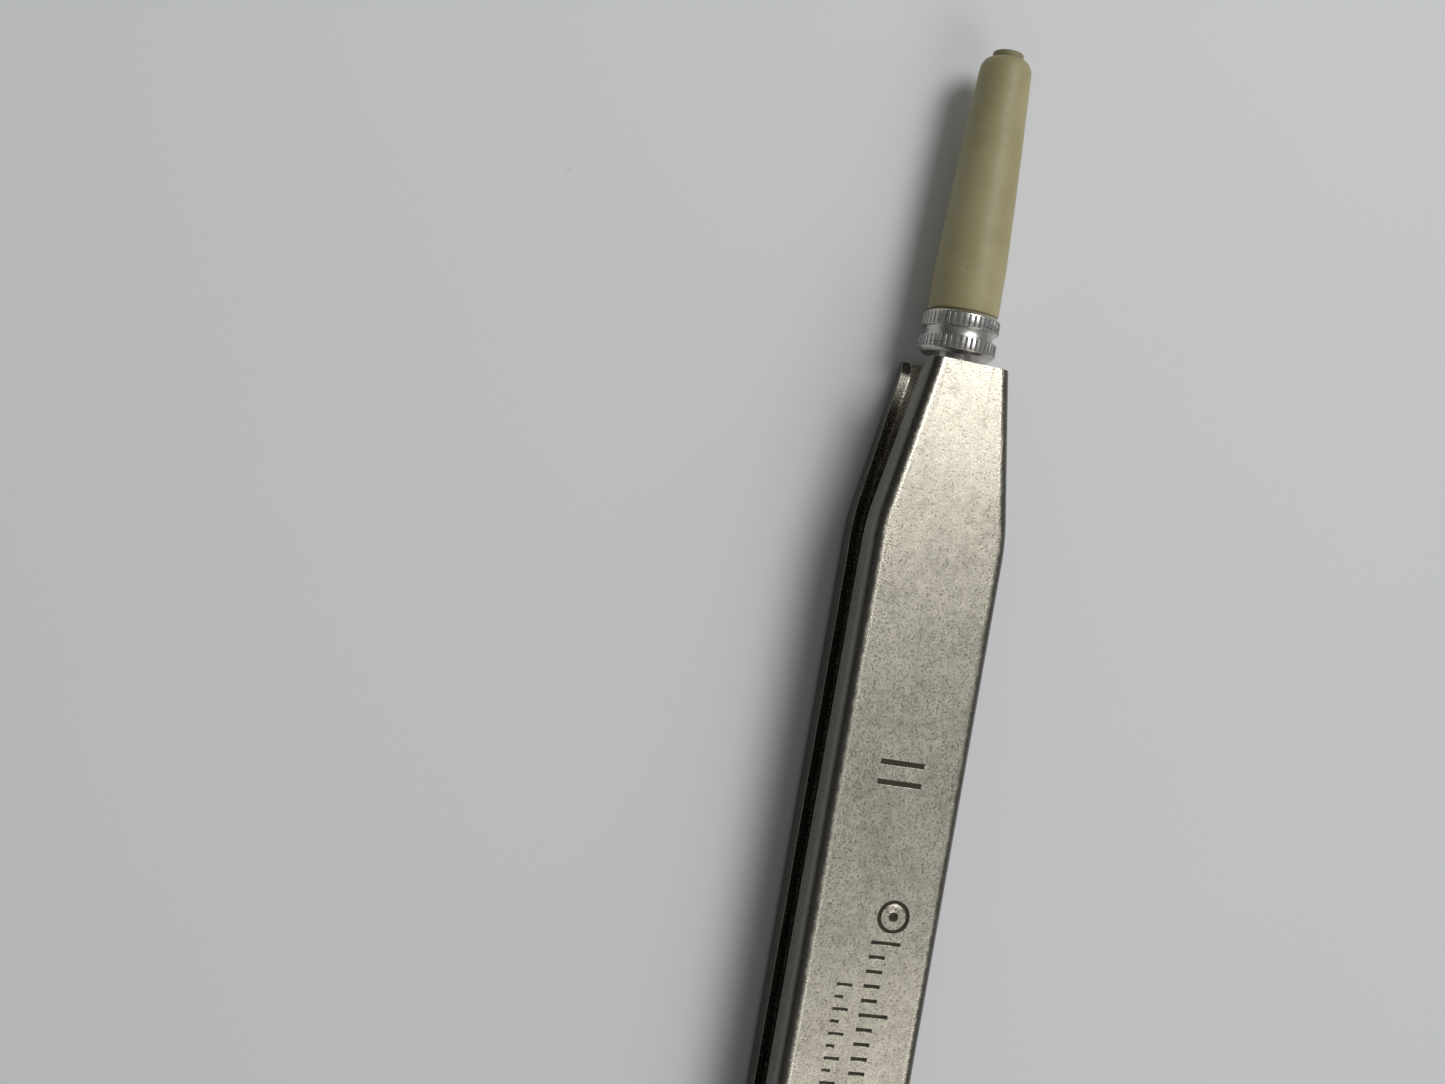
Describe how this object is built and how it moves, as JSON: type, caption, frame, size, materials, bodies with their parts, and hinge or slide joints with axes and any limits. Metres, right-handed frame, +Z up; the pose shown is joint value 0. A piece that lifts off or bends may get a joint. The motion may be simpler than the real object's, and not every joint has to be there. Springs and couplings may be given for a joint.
{
  "type": "watch hand lifter",
  "caption": "Slim squeeze-type watchmaker's hand lifter: folded steel arms, sprung open, pull claws back into a tapered cream nose.",
  "frame": {"origin": "on the resting plane, under the middle of the tool's bounding box", "axes": "+X along the tool to the nose tip, +Y across it, +Z up out of the marked face"},
  "size_m": [0.118, 0.0092, 0.0069],
  "materials": {
    "stamped_steel": "satin stamped stainless sheet with fine scratches",
    "turned_steel": "fine turned stainless",
    "bar_steel": "milled stainless",
    "pin_steel": "polished stainless",
    "spring_steel": "blued grey spring steel",
    "cream_plastic": "aged cream moulded plastic"
  },
  "bodies": {
    "frame": {"spine": "bar_steel", "tail_block": "bar_steel", "spine_rivet": "pin_steel", "upper_hinge_pin": "pin_steel", "lower_hinge_pin": "pin_steel", "guide_block": "bar_steel", "neck_tube": "turned_steel", "nose_ferrule": "turned_steel", "nose_sleeve": "cream_plastic", "upper_spring": "spring_steel", "lower_spring": "spring_steel", "spring_rivets": "pin_steel"},
    "upper_arm": {"upper_arm": "stamped_steel", "upper_lug": "bar_steel", "upper_link_pin": "pin_steel"},
    "lower_arm": {"lower_arm": "stamped_steel", "lower_lug": "bar_steel", "lower_link_pin": "pin_steel"},
    "slider": {"slider_rod": "turned_steel", "slider_pin": "pin_steel", "upper_claw": "spring_steel", "lower_claw": "spring_steel", "claw_rivet": "pin_steel"},
    "upper_link": {"upper_link": "bar_steel"},
    "lower_link": {"lower_link": "bar_steel"}
  },
  "joints": [
    {"name": "upper_arm_hinge", "type": "hinge", "parent": "frame", "child": "upper_arm", "pos_m": [-0.052, 0, 0.0052], "axis": [0, 1, 0], "range_deg": [0, 0.678], "stiffness_Nm_per_rad": 2, "springref_deg": -0.57, "deforming": ["upper_spring"]},
    {"name": "lower_arm_hinge", "type": "hinge", "parent": "frame", "child": "lower_arm", "pos_m": [-0.052, 0, 0.0017], "axis": [0, -1, 0], "range_deg": [0, 0.68], "stiffness_Nm_per_rad": 2, "springref_deg": -0.57, "deforming": ["lower_spring"]},
    {"name": "slider_slide", "type": "slide", "parent": "frame", "child": "slider", "axis": [-1, 0, 0], "range_m": [0, 0.00084]},
    {"name": "upper_link_hinge", "type": "hinge", "parent": "slider", "child": "upper_link", "pos_m": [0.02284, 0, 0.00345], "axis": [0, 1, 0], "range_deg": [0, 33.5]},
    {"name": "lower_link_hinge", "type": "hinge", "parent": "slider", "child": "lower_link", "pos_m": [0.02284, 0, 0.00345], "axis": [0, -1, 0], "range_deg": [0, 33.5]}
  ],
  "couplings": [
    {"joint": "lower_arm_hinge", "follows": "upper_arm_hinge", "ratio": 1},
    {"joint": "slider_slide", "follows": "upper_arm_hinge", "m_per_rad": 0.07016},
    {"joint": "upper_link_hinge", "follows": "upper_arm_hinge", "ratio": 49.259},
    {"joint": "lower_link_hinge", "follows": "upper_arm_hinge", "ratio": 49.259}
  ]
}
